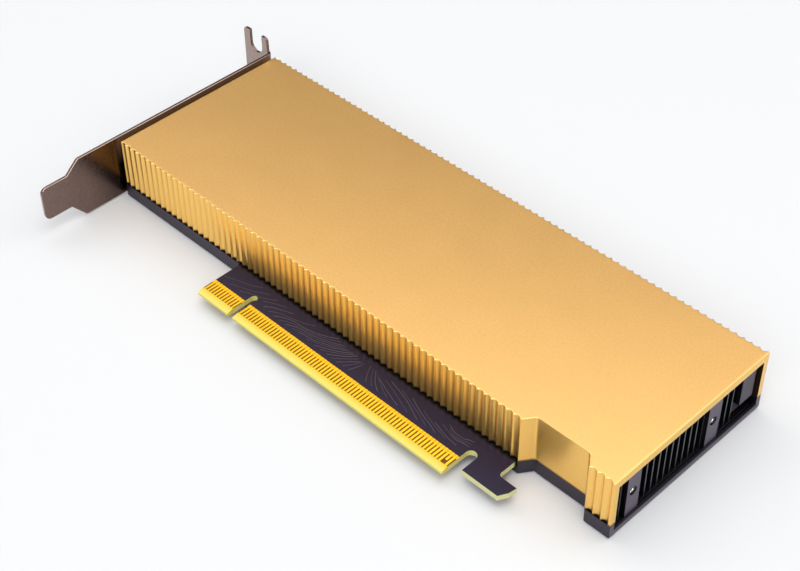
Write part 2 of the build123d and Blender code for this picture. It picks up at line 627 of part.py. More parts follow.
def bracket_screws():
    """Low-headed screws through the bracket into the heatsink's posts."""
    head_x = BRACKET_OUT_X - BRACKET_HEAD_H
    end_x = BRACKET_OUT_X + BRACKET_SCREW_LENGTH
    screws = []
    for y in POSTS_Y:
        head = level_rod(head_x, BRACKET_OUT_X, y, BRACKET_POST_Z, BRACKET_HEAD_R)
        screws.append(head + level_rod(head_x, end_x, y, BRACKET_POST_Z, BRACKET_SCREW_R))
    return screws


def small_part(row, dx, dy, height):
    """A chip near the bracket, counted along Y from the middle of the board."""
    return on_board(SMALL_PARTS_X, MIDDLE_Y + row * SMALL_PARTS_PITCH, dx, dy, height)


PIECES = {
    "top_cover": top_cover(),
    "back_tray": back_tray(),
    "heatsink": heatsink(),
    "spreader_plate": spreader_plate(),
    "circuit_board": circuit_board(),
    "contacts_component_side": contacts(0, CONTACTS_SHORT_SIDE + CONTACTS_LONG_SIDE - 1),
    "contacts_solder_side": contacts(BOARD_BACK_Z - CONTACT_T, 1),
    "processor_substrate": processor_substrate(),
    "processor_die": processor_die(),
    "package_stiffener": package_stiffener(),
    "memory_chips_front": memory_chips(0),
    "memory_chips_back": memory_chips(BOARD_BACK_Z - CHIP_T),
    "memory_pads_front": memory_pads(CHIP_T, SPREADER_Z),
    "memory_pads_back": memory_pads(TRAY_FLOOR_Z, BOARD_BACK_Z - CHIP_T),
    "inductors": power_parts(0, INDUCTOR, INDUCTOR, 0, INDUCTOR_T),
    "inductor_pads": power_parts(0, INDUCTOR - PAD_INSET, INDUCTOR - PAD_INSET, INDUCTOR_T, BASE_Z),
    "power_stages": power_parts(STAGE_STEP, STAGE_X, STAGE_Y, 0, STAGE_T),
    "power_stage_pads": power_parts(STAGE_STEP, STAGE_X - PAD_INSET, STAGE_Y - PAD_INSET, STAGE_T, BASE_Z),
    "polymer_capacitors": power_parts(CAPACITOR_STEP, CAPACITOR_X, CAPACITOR_Y, 0, CAPACITOR_T),
    "ceramic_capacitors": ceramic_capacitors(),
    "voltage_controller": small_part(-1, CONTROLLER, CONTROLLER, CONTROLLER_T),
    "firmware_chip": small_part(0, FIRMWARE_X, FIRMWARE_Y, FIRMWARE_T),
    "clock_crystal": small_part(1, CRYSTAL_X, CRYSTAL_Y, CRYSTAL_T),
    "io_bracket": io_bracket(),
    "bracket_screws": bracket_screws(),
    "case_screws": case_screws(),
    "heatsink_screws": sink_screws(),
}

os.makedirs("parts", exist_ok=True)
for name, piece in PIECES.items():
    group = piece if isinstance(piece, list) else [piece]
    solids = [solid for shape in group for solid in (ORIGIN * shape).solids()]
    export_step(solids[0] if len(solids) == 1 else Compound(solids), f"parts/{name}.step")
    print(name, len(solids))
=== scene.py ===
# %% [markdown]
# # A passive accelerator card
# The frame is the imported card: every node keeps its place, and the pieces made here stand for some of them.
# Sizes are in millimetres from the card's datum, and `place` moves them into the frame and into metres.

# %% The tools and the frame
import json
import math

import bmesh
import bpy
import numpy as np
from mathutils import Matrix, Vector


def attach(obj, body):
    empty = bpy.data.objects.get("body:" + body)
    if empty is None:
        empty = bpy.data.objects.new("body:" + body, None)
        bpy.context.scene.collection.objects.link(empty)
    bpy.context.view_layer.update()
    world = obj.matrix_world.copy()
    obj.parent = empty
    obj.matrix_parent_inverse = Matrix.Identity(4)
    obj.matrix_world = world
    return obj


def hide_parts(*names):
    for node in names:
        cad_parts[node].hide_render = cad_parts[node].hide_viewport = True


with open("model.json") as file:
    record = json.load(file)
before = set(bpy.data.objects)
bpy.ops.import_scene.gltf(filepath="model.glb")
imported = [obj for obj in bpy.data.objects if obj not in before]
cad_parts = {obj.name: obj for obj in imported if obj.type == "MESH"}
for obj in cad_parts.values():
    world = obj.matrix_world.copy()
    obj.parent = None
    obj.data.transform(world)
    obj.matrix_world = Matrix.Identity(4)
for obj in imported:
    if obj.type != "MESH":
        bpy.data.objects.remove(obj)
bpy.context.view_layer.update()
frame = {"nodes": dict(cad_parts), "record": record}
nodes = frame["nodes"]

# %% [markdown]
# The datum is the middle of the key notch, the edge of the contacts and the component face of the board.
# The same numbers shaped the card's solids, so each piece made here lands on the solid that it stands for.
# The cover's side walls are rows of flutes, and the recess in the near wall is as long as nine of them.

# %% The card's sizes
SHIFT = np.array([-19.025, -28.98, 4.13])
HEAD_X, TAIL_X = -58.60, 109.05
NEAR_Y, FAR_Y, RECESS_Y = 13.80, 68.90, 16.92
COVER_LOW, COVER_TOP, COVER_IN = 0.24, 14.15, 12.05
WALL = 1.65
PITCH, DEPTH, NOSE = 2.17, 0.60, 0.12
NEAR_FLUTES, RECESS_FLUTES, TAIL_FLUTES = 65, 9, 3
RECESS = ((82.55, NEAR_Y), (84.85, RECESS_Y), (99.60, RECESS_Y), (101.90, NEAR_Y))
TRAY_Z = -4.13
PILLAR_X, HOLE_Z, HOLES_Y = 108.45, 5.20, (21.80, 50.35)
BRACKET_OUT, SCREWS_Z, SCREWS_Y = -60.86, 7.40, (20.00, 62.70)
CASE_SCREWS = ((-50.0, 17.9), (73.55, 17.9), (-50.0, 64.8), (87.45, 64.8))


def place(points):
    """Millimetres from the card's datum to metres in the frame: (p + shift) / 1000."""
    return (np.asarray(points, float) + SHIFT) / 1000


print("the card's datum is at", place((0, 0, 0)).tolist())

# %% [markdown]
# Most pieces are skins: a grid of points, one line of points after another, joined by four-sided faces.
# A closed loop of lines gives a tube, and faces across its ends close it, so nothing is left open.
# A flat-faced solid is copied instead, with its facets merged back into whole faces, so that only its real
# edges are rounded.

# %% From grids of points to pieces
SAME_POINT, NEAR_POINT = 1e-7, 2e-6
ONE_FLAT, REAL_EDGE = math.radians(1), math.radians(40)


def piece(name, points, faces, smooth_angle=35):
    """A riding piece from points in millimetres, its faces turned outward and its smooth parts smooth."""
    mesh = bpy.data.meshes.new(name)
    mesh.from_pydata(place(points).tolist(), [], faces)
    work = bmesh.new()
    work.from_mesh(mesh)
    bmesh.ops.remove_doubles(work, verts=work.verts, dist=SAME_POINT)
    bmesh.ops.recalc_face_normals(work, faces=work.faces)
    work.to_mesh(mesh)
    work.free()
    mesh.polygons.foreach_set("use_smooth", [True] * len(mesh.polygons))
    mesh.set_sharp_from_angle(angle=math.radians(smooth_angle))
    made = bpy.data.objects.new(name, mesh)
    bpy.context.scene.collection.objects.link(made)
    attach(made, "root")
    return made


def grid_faces(rows, columns, wrap=False):
    """Four-sided faces of a grid of rows by columns, joined from the last column to the first if wrap."""
    last = columns if wrap else columns - 1
    r, c = np.meshgrid(np.arange(rows - 1), np.arange(last), indexing="ij")
    n = (c + 1) % columns
    quads = np.stack([r * columns + c, r * columns + n, (r + 1) * columns + n, (r + 1) * columns + c], -1)
    return quads.reshape(-1, 4).tolist()


def solid_copy(node, bevel, segments=2):
    """A copy of a node's mesh, its points joined and its flat faces merged, whose edges a bevel rounds."""
    work = bmesh.new()
    work.from_mesh(nodes[node].data)
    bmesh.ops.remove_doubles(work, verts=work.verts, dist=NEAR_POINT)
    bmesh.ops.dissolve_limit(work, angle_limit=ONE_FLAT, verts=work.verts, edges=work.edges)
    faces = [[v.index for v in f.verts] for f in work.faces]
    points = np.array([v.co for v in work.verts]) * 1000 - SHIFT
    work.free()
    made = piece(node + "_look", points, faces)
    rounding = made.modifiers.new("edge rounding", "BEVEL")
    rounding.width = bevel / 1000
    rounding.segments = segments
    rounding.limit_method = "ANGLE"
    rounding.angle_limit = REAL_EDGE
    rounding.use_clamp_overlap = False
    rounding.harden_normals = True
    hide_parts(node)
    return made


print("3 lines of 4 points make", len(grid_faces(3, 4)), "faces, and as a tube", len(grid_faces(3, 4, True)))

# %% [markdown]
# The cover is an extruded channel: a flat top, two side walls with a row of upright flutes, and a slanted
# recess in the near wall. A bevelled box with a texture would lose the flutes' edges, so each wall's plan is
# drawn with true arcs. Each flute is an arc of radius R that runs tangent into a small round nose, so that
# half the pitch, the depth and the nose fix R: (R + nose) = ((pitch / 2)^2 + depth^2) / (2 depth).
# Insetting the plan by d is exact as well: the arc grows to R + d, and the nose shrinks until it is a line.

# %% Plan of one fluted wall
ARC_STEPS, NOSE_STEPS = 10, 3
PER_FLUTE = ARC_STEPS + 2 * NOSE_STEPS
ARC_R = ((PITCH / 2) ** 2 + DEPTH ** 2) / (2 * DEPTH) - NOSE
RECESS_RADII, RECESS_STEPS, RECESS_ARC = (0.12, 0.90, 0.90, NOSE), (2, 16, 76, 16, 1), 9
RIDGE_BEFORE, RIDGE_AFTER, OVERRUN = HEAD_X + NEAR_FLUTES * PITCH, RECESS[3][0], 0.02


def flutes(start, count, inset):
    """(x, depth) of a row of flutes from its first ridge: x = R sin(a), depth = DEPTH - R0 + R cos(a)."""
    half = PITCH / 2
    nose = max(NOSE - inset, 0.0)
    arc = ARC_R + inset
    lean = math.asin(half / (arc + nose))
    bend = np.linspace(-lean, lean, ARC_STEPS + 1)
    x = arc * np.sin(bend)
    y = DEPTH - ARC_R + arc * np.cos(bend)
    turn = np.linspace(0, lean, NOSE_STEPS + 1)[:-1]
    nose_y = NOSE - nose * np.cos(turn) if nose else np.full(NOSE_STEPS, y[0])
    x = np.concatenate([-half + nose * np.sin(turn), x, (half - nose * np.sin(turn))[::-1]])
    y = np.concatenate([nose_y, y, nose_y[::-1]])
    starts = start + PITCH * (np.arange(count) + 0.5)
    return (starts[:, None] + x[None, :-1]).ravel(), np.tile(y[:-1], count)


def corner_arc(corner, radius, before, after, left, inset, steps):
    """The arc that rounds one corner: its first radius, turned about its centre from one way to the next."""
    turn = math.atan2(before[0] * after[1] - before[1] * after[0], before @ after)
    side = 1 if turn > 0 else -1
    miter = (left[0] + left[1]) / (1 + left[0] @ left[1])
    size = radius - side * inset
    if size <= 0:
        return np.tile(corner + inset * miter, (steps, 1))
    angle = np.linspace(0, turn, steps)
    first = -side * left[0] * size
    x = first[0] * np.cos(angle) - first[1] * np.sin(angle)
    y = first[0] * np.sin(angle) + first[1] * np.cos(angle)
    return corner + side * radius * miter + np.stack([x, y], 1)


def rounded(corners, radii, inset, counts, arc_count):
    """A path along corners, rounded and inset to its left; counts are the steps of each straight."""
    p = np.array(corners, float)
    way = np.diff(p, axis=0)
    way /= np.linalg.norm(way, axis=1)[:, None]
    left = np.stack([-way[:, 1], way[:, 0]], 1)
    parts = []
    start = p[0] + left[0] * inset
    for i, radius in enumerate(radii):
        arc = corner_arc(p[i + 1], radius, way[i], way[i + 1], left[i:i + 2], inset, arc_count)
        parts += [np.linspace(start, arc[0], counts[i] + 1)[:-1], arc[:-1]]
        start = arc[-1]
    parts.append(np.linspace(start, p[-1] + left[-1] * inset, counts[-1] + 1))
    return np.concatenate(parts)


def recess(inset):
    """The slanted recess from ridge to ridge, with as many points as the flutes that it stands for."""
    path = [(RIDGE_BEFORE, NEAR_Y), *RECESS, (RIDGE_AFTER + OVERRUN, NEAR_Y)]
    line = rounded(path, RECESS_RADII, inset, RECESS_STEPS, RECESS_ARC)
    steps = np.linspace(0, len(line) - 1, PER_FLUTE * RECESS_FLUTES + 1)[:-1]
    index = np.arange(len(line))
    x = np.clip(np.interp(steps, index, line[:, 0]), RIDGE_BEFORE, RIDGE_AFTER)
    return x, np.interp(steps, index, line[:, 1])


def near_plan(inset, smooth_wall=False):
    """The near wall's plan at an inset, or the plain inner wall that follows only the recess."""
    head = flutes(HEAD_X, NEAR_FLUTES, 0 if smooth_wall else inset)
    hollow = recess(inset)
    tail = flutes(RIDGE_AFTER, TAIL_FLUTES, 0 if smooth_wall else inset)
    x = np.concatenate([head[0], hollow[0], tail[0], [RIDGE_AFTER + TAIL_FLUTES * PITCH]])
    flat = np.full(len(head[0]), inset), np.full(len(tail[0]), inset)
    y_head, y_tail = flat if smooth_wall else (head[1], tail[1])
    return x, np.concatenate([NEAR_Y + y_head, hollow[1], NEAR_Y + y_tail, [NEAR_Y + y_head[0]]])


def far_plan(inset, smooth_wall=False):
    """The far wall's plan, point for point with the near one."""
    count = NEAR_FLUTES + RECESS_FLUTES + TAIL_FLUTES
    x, y = flutes(HEAD_X, count, 0 if smooth_wall else inset)
    depth = np.full(len(x), inset) if smooth_wall else y
    return np.append(x, HEAD_X + count * PITCH), FAR_Y - np.append(depth, depth[0])


print("flute arc radius", round(ARC_R, 3), "points along a wall", len(near_plan(0)[0]), len(far_plan(0)[0]))

# %% [markdown]
# Across the card, the cover is one closed line: up the near wall, over the top, down the far wall, and back
# along the inside. Each point of that line is an inset and a height, so the rounded top edge follows every
# flute. The two open ends are rounded too, by drawing the outside in towards the inside over the last bit.

# %% The cover
BEVEL, EDGE_STEPS, TOP_STRIPS = 0.18, 4, 5
FOOT_CUT, FOOT_BAND, EDGE_BAND = 0.08, 0.30, 0.10
ROWS_IN_ROUNDING = 4


def edge_round(size, low, high):
    """(inset, height) from a wall's foot to the top: inset = r (1 - cos t), height = top - r + r sin t."""
    t = np.linspace(0, math.pi / 2, EDGE_STEPS + 1)
    arc = np.stack([size * (1 - np.cos(t)), high - size + size * np.sin(t)], 1)
    upright = low + FOOT_CUT, low + FOOT_BAND, high - size - EDGE_BAND
    foot = [(FOOT_CUT, low)] + [(0.0, z) for z in upright]
    return np.concatenate([foot, arc, [(size + EDGE_BAND, high)]])


def wall_lines(plan, levels, smooth_wall):
    """One wall as lines along the card: its plan at each inset and height."""
    lines = []
    for inset, height in levels:
        x, y = plan(inset, smooth_wall)
        lines.append(np.stack([x, y, np.full(len(x), height)], 1))
    return lines


def channel_side(levels, smooth_wall=False):
    """Grid P(u, v) of the outside or the inside, from where the head's rounding ends.

    Across the top it is near + (far - near) s.
    """
    near = wall_lines(near_plan, levels, smooth_wall)
    far = wall_lines(far_plan, levels, smooth_wall)
    share = np.linspace(0, 1, TOP_STRIPS + 1)[1:-1]
    across = [near[-1] + (far[-1] - near[-1]) * s for s in share]
    return np.stack([*near, *across, *far[::-1]], 1)[ROWS_IN_ROUNDING:]


def rounded_end(outer, inner, end_x, inward):
    """Rows of one open end: the outside is drawn in by r (1 - cos t) while x comes back by r (1 - sin t)."""
    t = np.linspace(math.pi / 2, 0, EDGE_STEPS + 1)
    gap = inner - outer
    gap[:, 0] = 0
    length = np.linalg.norm(gap, axis=1)[:, None]
    rows_out = np.array([outer + gap / length * BEVEL * (1 - math.cos(a)) for a in t])
    rows_in = np.tile(inner, (len(t), 1, 1))
    x = end_x + inward * BEVEL * (1 - np.sin(t))
    rows_out[:, :, 0] = x[:, None]
    rows_in[:, :, 0] = x[:, None]
    return rows_out, rows_in


def cover_shell():
    """Grid P(u, v): u runs along the card through every flute, v goes once round the channel's section."""
    levels = edge_round(BEVEL, COVER_LOW, COVER_TOP)
    inner_levels = [(WALL, z) for z in np.linspace(COVER_LOW, COVER_IN, len(levels))]
    outer, inner = channel_side(levels), channel_side(inner_levels, smooth_wall=True)
    head = rounded_end(outer[0], inner[0], HEAD_X, 1)
    tail = rounded_end(outer[-1], inner[-1], TAIL_X, -1)
    outer = np.concatenate([head[0], outer, tail[0][::-1]])
    inner = np.concatenate([head[1], inner, tail[1][::-1]])
    grid = np.concatenate([outer, inner[:, ::-1]], 1)
    rows, columns = grid.shape[:2]
    faces = grid_faces(rows, columns, wrap=True)
    v = np.arange(outer.shape[1] - 1)
    for first in (0, (rows - 1) * columns):
        last = first + columns - 1
        faces += np.stack([first + v, first + v + 1, last - 1 - v, last - v], 1).tolist()
    return piece("cover_shell", grid.reshape(-1, 3), faces, smooth_angle=50)


cover = cover_shell()
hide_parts("top_cover")
print(cover.name, len(cover.data.polygons), "faces")

# %% [markdown]
# Tray, heatsink, board and bracket are flat-faced parts, and their solids are already exact. What they lack
# is the small rounding that catches the light along every real edge. So all but the board are copies of their
# own solids, joined and cleaned, with a bevel too small to measure from a step away.

# %% Flat-faced pieces with rounded edges
SHEET_ROUNDING, FIN_ROUNDING = 0.16, 0.04

tray = solid_copy("back_tray", SHEET_ROUNDING)
sink = solid_copy("heatsink", FIN_ROUNDING, segments=1)
bracket = solid_copy("io_bracket", SHEET_ROUNDING, segments=3)
for made in (tray, sink, bracket):
    print(made.name, len(made.data.polygons), "faces before rounding")

# %% [markdown]
# The two holes in the tail's pillars are tapped, and a steel liner with a thread sits inside each, its glint
# painted on.
# A thread is a tube whose radius goes up and down along its length while the ridge turns: R - d s(x / lead -
# a / 2 pi) at the angle a, where s is a sharp wave from 0 to 1. The screws in the tray and the bracket are
# turned, each a profile carried round an axis, whose inner part blends from a circle to a hexagon for the
# key.

# %% Turned pieces
BORE_R, THREAD_R, THREAD_DEPTH, THREAD_LEAD, THREAD_SHARP = 1.24, 1.22, 0.20, 0.5, 1.5
THREAD_FIRST, THREAD_STEP, LINER_LONG, LINER_BACK = 0.05, 0.0625, 4.6, 0.02
RIM_CUT, LIP, LIP_DROP = 0.12, 0.05, 0.02
CONE_SHARE, CONE_DROP = 1.18, 0.18
FLOOR_SHARE, FLOOR_DROP, TIP_R, TIP_DROP = 0.97, 0.04, 0.02, 0.16


def turned(name, rings, axis, centres, turns=48, closed=False):
    """Grids P(k, a) = centre + radius_k(a) (across cos a + up sin a) + along_k axis, one for each centre."""
    axis = np.array(axis, float)
    across = np.array((0.0, 1.0, 0.0) if axis[0] else (1.0, 0.0, 0.0))
    up = np.cross(axis, across)
    angle = np.linspace(0, 2 * math.pi, turns, endpoint=False)
    circle = across * np.cos(angle)[:, None] + up * np.sin(angle)[:, None]
    radius = np.array([r(angle) if callable(r) else np.full(turns, r) for r, _ in rings])
    along_axis = np.array([h for _, h in rings])[:, None, None] * axis
    points, faces = [], []
    for k, centre in enumerate(centres):
        start = k * len(rings) * turns
        last = start + (len(rings) - 1) * turns
        faces += (np.array(grid_faces(len(rings), turns, wrap=True)) + start).tolist()
        if not closed:
            faces += [[first + i for i in range(turns)] for first in (start, last)]
        grid = np.array(centre) + radius[:, :, None] * circle + along_axis
        points.append(grid.reshape(-1, 3))
    return piece(name, np.concatenate(points), faces)


def hexagon(size):
    """Radius of a hexagon with flats 2 size apart: size / cos of the angle from the nearest flat's middle."""
    return lambda a: size / np.cos((a + math.pi / 6) % (math.pi / 3) - math.pi / 6)


def socket_head(rim, top, deep, size):
    """Rings of a head from its rim over a flat top with a small chamfer, then down into a hexagon socket."""
    cone = size * CONE_SHARE
    floor_z = top - deep
    return [
        (rim - RIM_CUT, top), (cone + LIP, top), (cone, top - LIP_DROP),
        (hexagon(size), top - CONE_DROP), (hexagon(size), floor_z),
        (hexagon(size * FLOOR_SHARE), floor_z - FLOOR_DROP), (TIP_R, floor_z - TIP_DROP),
    ]


def thread_ridge(at):
    """Radius of the liner's bore at a place along it: the wave's crest turns once in each lead."""
    def radius(a):
        wave = np.abs(((at / THREAD_LEAD - a / (2 * math.pi)) % 1) * 2 - 1)
        return THREAD_R - THREAD_DEPTH * wave ** THREAD_SHARP
    return radius


def liner_rings():
    """Rings from the outside's mouth along the thread to the outside's far end, and back to the first."""
    mouth = (BORE_R, -LINER_BACK)
    thread = [(thread_ridge(x), -x) for x in np.arange(THREAD_FIRST, LINER_LONG, THREAD_STEP)]
    return [mouth, *thread, (BORE_R, -LINER_LONG), mouth]


holes = [(PILLAR_X, y, HOLE_Z) for y in HOLES_Y]
liners = turned("thread_liners", liner_rings(), (1, 0, 0), holes, turns=32, closed=True)

case_profile = [(0.90, -7.0), (1.00, -6.9), (1.00, -0.80), (1.76, -0.05), (1.78, -0.01)]
case_profile += socket_head(rim=1.80, top=0.0, deep=0.65, size=0.62)
case_places = [(x, y, TRAY_Z) for x, y in CASE_SCREWS]
case_heads = turned("case_screws_look", case_profile, (0, 0, -1), case_places)

bracket_profile = [(1.18, -5.0), (1.25, -4.9), (1.25, 0.0), (2.24, 0.0), (2.30, 0.06), (2.30, 0.80)]
bracket_profile += [(2.26, 0.92), (2.14, 1.0)] + socket_head(rim=2.14, top=1.0, deep=0.70, size=0.75)
bracket_places = [(BRACKET_OUT, y, SCREWS_Z) for y in SCREWS_Y]
bracket_heads = turned("bracket_screws_look", bracket_profile, (-1, 0, 0), bracket_places)

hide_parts("case_screws")
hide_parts("bracket_screws")
for made in (liners, case_heads, bracket_heads):
    print(made.name, len(made.data.polygons), "faces")

# %% [markdown]
# Signal lines run from the contacts under the mask and show as low winding ridges, with finer ones between
# them. Each is a path of corners smoothed into a curve, with one small closed section swept along it. If they
# were painted on, they would lose the glint that only a raised shoulder gives.

# %% Signal lines on the board
RISING = (
    ((3.9, 7.7), (5.5, 9.1), (9.0, 10.4), (11.0, 11.1)),
    ((8.1, 7.3), (10.3, 8.6), (13.1, 9.5), (16.4, 9.6), (20.0, 10.4), (23.1, 11.6), (25.3, 12.9)),
    ((12.4, 7.3), (14.6, 8.4), (17.0, 8.9), (20.3, 9.3), (25.3, 10.9), (28.1, 12.3)),
    ((16.7, 7.5), (18.1, 8.0), (21.0, 8.2), (26.0, 10.0), (29.6, 11.8)),
    ((22.8, 7.3), (27.0, 9.1), (29.9, 10.7), (31.4, 12.1)),
    ((27.0, 7.3), (30.6, 9.6), (32.8, 12.0)),
    ((30.6, 7.1), (33.1, 9.6), (34.6, 11.1)),
    ((34.6, 7.3), (35.5, 9.6), (35.8, 11.4)),
)
FALLING = (
    ((37.6, 11.9), (38.6, 9.6), (40.4, 7.4)),
    ((39.6, 11.6), (41.9, 8.9), (44.4, 7.3)),
    ((42.0, 10.4), (47.8, 8.2), (51.0, 7.3)),
    ((44.6, 11.8), (50.3, 10.4), (54.6, 8.6), (57.4, 7.3)),
    ((52.0, 11.4), (56.0, 9.6), (61.0, 8.2), (63.0, 7.3)),
    ((61.0, 9.6), (65.6, 8.2), (69.2, 7.9)),
    ((63.9, 11.4), (66.4, 10.4), (68.9, 10.4), (70.3, 11.2), (71.4, 11.4)),
    ((65.6, 9.6), (68.1, 8.9), (70.3, 9.6), (71.7, 9.6)),
)
AROUND_NOTCH = (
    ((-11.4, 8.2), (-8.0, 9.6), (-4.0, 10.6), (-1.5, 12.2)),
    ((-8.4, 7.4), (-5.0, 8.6), (-1.6, 9.8), (1.8, 11.9)),
    ((-4.6, 7.4), (-2.6, 8.4), (1.6, 9.6), (4.6, 11.6)),
    ((2.3, 8.9), (4.6, 10.2), (8.2, 11.6)),
)
TRACE_W, FINE_W, TRACE_H = 0.17, 0.11, 0.035
SECTION_SIDE = np.array([-0.5, -0.36, -0.14, 0.14, 0.36, 0.5])
SECTION_RISE = np.array([-0.25, 0.65, 1.0, 1.0, 0.65, -0.25])
CORNER_ROUNDS, FINE_CORNERS = 4, 7


def smooth_path(corners):
    """Corner cutting: each corner is replaced by points at 1/4 and 3/4 of its two sides, a few times over."""
    p = np.array(corners, float)
    for _ in range(CORNER_ROUNDS):
        cut = np.stack([0.75 * p[:-1] + 0.25 * p[1:], 0.25 * p[:-1] + 0.75 * p[1:]], 1).reshape(-1, 2)
        p = np.concatenate([p[:1], cut, p[-1:]])
    return p


def between(paths):
    """Lines half way between neighbours: both at the same share of their lengths, averaged."""
    share = np.linspace(0, 1, FINE_CORNERS)
    even = []
    for corners in paths:
        p = smooth_path(corners)
        walked = np.append(0, np.cumsum(np.linalg.norm(np.diff(p, axis=0), axis=1)))
        x, y = [np.interp(share * walked[-1], walked, p[:, k]) for k in (0, 1)]
        even.append(np.stack([x, y], 1))
    return [(a + b) / 2 for a, b in zip(even, even[1:])]


def traces(paths):
    """Sections (s, h) swept along each path: P(t, k) = path(t) + s_k * left(t), at height h_k."""
    points, faces, start = [], [], 0
    count = len(SECTION_SIDE)
    for corners, width in paths:
        line = smooth_path(corners)
        way = np.gradient(line, axis=0)
        way /= np.linalg.norm(way, axis=1)[:, None]
        left = np.stack([-way[:, 1], way[:, 0]], 1)
        grid = np.empty((len(line), count, 3))
        grid[:, :, :2] = line[:, None] + left[:, None] * (SECTION_SIDE * width)[None, :, None]
        grid[:, :, 2] = SECTION_RISE * TRACE_H
        last = start + (len(line) - 1) * count
        faces += (np.array(grid_faces(len(line), count, wrap=True)) + start).tolist()
        faces += [[first + k for k in range(count)] for first in (start, last)]
        points.append(grid.reshape(-1, 3))
        start = last + count
    return piece("board_traces", np.concatenate(points), faces, smooth_angle=60)


fine_lines = [*between(RISING), *between(FALLING), *AROUND_NOTCH]
lines = traces([(p, TRACE_W) for p in RISING + FALLING] + [(p, FINE_W) for p in fine_lines])
print(lines.name, len(RISING + FALLING), "lines and", len(fine_lines), "fine ones")

# %% [markdown]
# Every finish, and the studio's light as well, is a small tree of nodes. These helpers say one step of a tree
# in one line: a number or a colour is set on the socket itself, and another node's output is linked to it.

# %% Steps of a node tree
# The first, second and result sockets of a Mix node, which has its own three for colours and for numbers
COLOUR_SOCKETS, NUMBER_SOCKETS = (6, 7, 2), (2, 3, 0)


def feed(tree, entry, value):
    """Sets a socket to a number, a vector or a colour, or links it to another node's output."""
    if isinstance(value, bpy.types.NodeSocket):
        tree.links.new(value, entry)
    elif entry.type == "RGBA":
        entry.default_value = (*value, 1)
    else:
        entry.default_value = value


def sum_of(tree, operation, *values, clamp=False):
    """One step of arithmetic on numbers and outputs."""
    made = tree.nodes.new("ShaderNodeMath")
    made.operation = operation
    made.use_clamp = clamp
    for entry, value in zip(made.inputs, values):
        feed(tree, entry, value)
    return made.outputs[0]


def ramp(tree, value, low, high, first=0.0, last=1.0, smooth=False):
    """A number that goes from first to last as a value goes from low to high, and stays there beyond."""
    made = tree.nodes.new("ShaderNodeMapRange")
    if smooth:
        made.interpolation_type = "SMOOTHSTEP"
    limits = ("From Min", low), ("From Max", high), ("To Min", first), ("To Max", last)
    for label, number in (("Value", value), *limits):
        feed(tree, made.inputs[label], number)
    return made.outputs["Result"]


def part_of(tree, vector, axis):
    """The part of a vector along one axis."""
    made = tree.nodes.new("ShaderNodeSeparateXYZ")
    tree.links.new(vector, made.inputs[0])
    return made.outputs[axis]


def mix(tree, mask, first, second, is_colour=True):
    """The first of two colours or numbers where a mask is 0, and the second where it is 1."""
    made = tree.nodes.new("ShaderNodeMix")
    made.data_type = "RGBA" if is_colour else "FLOAT"
    first_at, second_at, result_at = COLOUR_SOCKETS if is_colour else NUMBER_SOCKETS
    for at, value in ((0, mask), (first_at, first), (second_at, second)):
        feed(tree, made.inputs[at], value)
    return made.outputs[result_at]


print("mix, ramp, arithmetic and parts of a vector")

# %% [markdown]
# Anodised and plated metal is never one even tone: fine blasting leaves a grain well under a millimetre.
# One node group makes that grain for every finish, from object coordinates, so that a finish has the same
# size of grain on every piece.

# %% A shared grain
BROAD_SCALE, BROAD_DETAIL, FINE_DETAIL = 90, 4, 3
BROAD_SHARE, GRAIN_MIDDLE = 0.25, 0.625
BUMP_HIGH = 0.00002


def noise(tree, where, scale, detail):
    """Noise from 0 to 1 at a scale per metre."""
    made = tree.nodes.new("ShaderNodeTexNoise")
    made.inputs["Detail"].default_value = detail
    feed(tree, made.inputs["Scale"], scale)
    tree.links.new(where, made.inputs["Vector"])
    return made.outputs["Fac"]


def grain_group():
    """A colour, a roughness and a normal with fine and broad variation in them."""
    group = bpy.data.node_groups.new("surface grain", "ShaderNodeTree")
    for label, kind in (("Colour", "Color"), ("Roughness", "Float"), ("Normal", "Vector")):
        group.interface.new_socket(label, in_out="OUTPUT", socket_type="NodeSocket" + kind)
    group.interface.new_socket("Colour", in_out="INPUT", socket_type="NodeSocketColor")
    for label in ("Colour change", "Roughness", "Roughness change", "Grain per metre", "Height"):
        group.interface.new_socket(label, in_out="INPUT", socket_type="NodeSocketFloat")
    start = group.nodes.new("NodeGroupInput").outputs
    end = group.nodes.new("NodeGroupOutput").inputs
    where = group.nodes.new("ShaderNodeTexCoord").outputs["Object"]
    fine = noise(group, where, start["Grain per metre"], FINE_DETAIL)
    broad = noise(group, where, BROAD_SCALE, BROAD_DETAIL)
    both = sum_of(group, "MULTIPLY_ADD", broad, BROAD_SHARE, fine)
    centred = sum_of(group, "SUBTRACT", both, GRAIN_MIDDLE)
    tint = group.nodes.new("ShaderNodeVectorMath")
    tint.operation = "SCALE"
    group.links.new(start["Colour"], tint.inputs[0])
    shade = sum_of(group, "MULTIPLY_ADD", centred, start["Colour change"], 1)
    group.links.new(shade, tint.inputs["Scale"])
    bump = group.nodes.new("ShaderNodeBump")
    bump.inputs["Distance"].default_value = BUMP_HIGH
    group.links.new(fine, bump.inputs["Height"])
    group.links.new(start["Height"], bump.inputs["Strength"])
    rough = sum_of(group, "MULTIPLY_ADD", centred, start["Roughness change"], start["Roughness"])
    group.links.new(tint.outputs["Vector"], end["Colour"])
    group.links.new(rough, end["Roughness"])
    group.links.new(bump.outputs["Normal"], end["Normal"])
    return group


GRAIN = grain_group()


